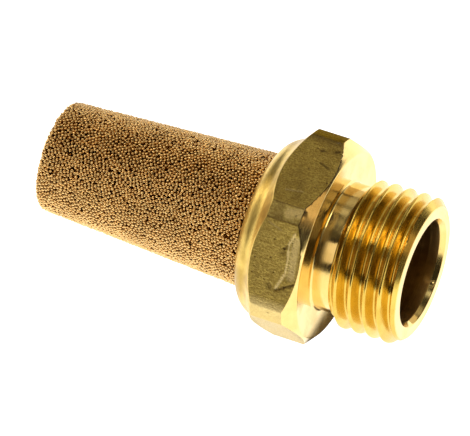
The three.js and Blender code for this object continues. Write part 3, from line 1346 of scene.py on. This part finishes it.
@dataclass
class Studio:
    """Plain pale floor, soft light and a pale surrounding.

    The shade is the part of the floor under the object, which glows less.
    """

    floor_level: float = -8.5
    floor_size: float = 3.0
    floor_colour: Colour = (0.25, 0.25, 0.25)
    floor_glow: float = 1.4
    seen_glow: float = 1.5
    shade_glow: float = 0.03
    shade_middle: float = -3.2
    shade_length: float = 4.4
    shade_width: float = 4.9
    wall: Colour = (0.032, 0.027, 0.019)

    def build(self) -> None:
        """Makes the floor, the surrounding and the lights."""
        self.floor()
        self.surrounding()
        for light in self.lights():
            light.build()

    def floor(self) -> None:
        """Makes a glowing white table, with a shade under the object."""
        bm = bmesh.new()
        bmesh.ops.create_grid(bm, x_segments=2, y_segments=2, size=self.floor_size / 2)
        bmesh.ops.translate(bm, verts=bm.verts[:], vec=(0, 0, self.floor_level * MM))
        material, nodes, shader = new_material("white_table")
        for name, value in (("Base Color", self.floor_colour), ("Roughness", 0.9),
                            ("Specular IOR Level", 0.1), ("Emission Color", WHITE)):
            nodes.put(shader[name], value)
        spot = nodes.add("VectorMath", {
            0: nodes.add("TexCoord").outputs["Object"],
            1: (1 / MM / self.shade_length, 1 / MM / self.shade_width, 0.0),
            2: (-self.shade_middle / self.shade_length, 0.0, 0.0)}, operation="MULTIPLY_ADD")
        away = nodes.add("VectorMath", {0: spot.outputs[0]}, operation="ABSOLUTE")
        across, deep, _ = nodes.parts(away.outputs[0])
        lit = nodes.ramp(nodes.math("MAXIMUM", across, deep), 0.9, 1.1,
                         self.shade_glow, self.floor_glow)
        seen = nodes.math("MULTIPLY", nodes.add("LightPath").outputs["Is Camera Ray"],
                          self.seen_glow)
        nodes.put(shader["Emission Strength"], nodes.math("MAXIMUM", lit, seen))
        finished_mesh(bm, "floor", [material])

    def surrounding(self) -> None:
        """Makes a surrounding that is pale to look at, and dim in reflections."""
        world = bpy.data.worlds.new("studio")
        bpy.context.scene.world = world
        world.use_nodes = True
        nodes = Nodes(world.node_tree)
        background = world.node_tree.nodes["Background"]
        seen = nodes.add("LightPath").outputs["Is Camera Ray"]
        nodes.put(background.inputs["Color"], nodes.mix(seen, self.wall, WHITE))

    @staticmethod
    def lights() -> list[SoftLight]:
        """The soft boxes.

        Returns:
            Each light, not yet built.
        """
        return [
            SoftLight("behind_low", 90.0, 13.0, 0.40, 0.24, 0.75, (1.0, 0.84, 0.60)),
            SoftLight("behind_middle", 88.0, 42.0, 0.52, 0.20, 0.46, (1.0, 0.93, 0.80)),
            SoftLight("behind_high", 90.0, 66.0, 0.37, 0.12, 0.62, (1.0, 0.95, 0.85)),
            SoftLight("overhead", 90.0, 90.0, 0.18, 0.26, 3.4, (1.0, 0.93, 0.82)),
            SoftLight("front_left", -112.0, 34.0, 0.20, 0.30, 1.0, (1.0, 0.86, 0.74)),
            SoftLight("front_fill", -62.0, 62.0, 0.45, 0.26, 0.13, (1.0, 0.92, 0.80)),
            SoftLight("front_right", -26.0, 50.0, 0.09, 0.09, 0.6, (1.0, 0.88, 0.74)),
            SoftLight("right", 5.0, 54.0, 0.09, 0.09, 0.8),
            SoftLight("right_low", 14.0, 14.0, 0.20, 0.15, 0.8, (1.0, 0.74, 0.48)),
            SoftLight("left_tall", 167.0, 22.0, 0.10, 0.40, 3.2, (1.0, 0.93, 0.82)),
            SoftLight("left_high", 190.0, 52.0, 0.16, 0.16, 3.2, (1.0, 0.95, 0.88)),
            SoftLight("left_fill", 192.0, 16.0, 0.34, 0.28, 0.12, (1.0, 0.85, 0.65)),
        ]


# ---------- whole object ----------

def main() -> None:
    """Builds the studio and the object."""
    logging.basicConfig(level=logging.INFO, format="%(name)s: %(message)s")
    bpy.context.scene.view_settings.view_transform = "Standard"
    Viewpoint().build()
    Studio().build()
    effects = Effects()
    finishes = {
        Region.TURNED: TurnedBrass("turned_brass"),
        Region.FLAT: BarBrass("bar_brass"),
        Region.SHOULDER: SatinBrass("satin_brass"),
        Region.BORE: BoredBrass("bored_brass"),
        Region.CORNER: BarBrass("corner_brass", skin=(0.44, 0.33, 0.09), worn=(0.60, 0.46, 0.14),
                                roughness=(0.34, 0.5), edge=(0.75, 0.6, 0.35)),
        # the thread's copy of the turned brass is darker and more saturated: painted shade, and the
        # painted amber of light bouncing in the grooves
        Region.THREAD: TurnedBrass("thread_brass", clean=(0.80, 0.56, 0.13),
                                   dull=(0.66, 0.43, 0.065), roughness=(0.16, 0.28)),
    }
    body = ThreadedBody().build([finishes[region].material(effects) for region in Region])
    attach(body, "root")
    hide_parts("threaded_body")
    LOG.info("body: %d faces", len(body.data.polygons))

    cup = PorousCup()
    wall = cup.core(SinteredWall("sintered_wall").material(effects))
    pieces = [wall, *cup.balls(SinteredBalls("sintered_balls").material(effects))]
    for piece in pieces:
        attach(piece, "root")
        LOG.info("%s: %d faces", piece.name, len(piece.data.polygons))
    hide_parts("sintered_cup")


if __name__ == "__main__":
    main()
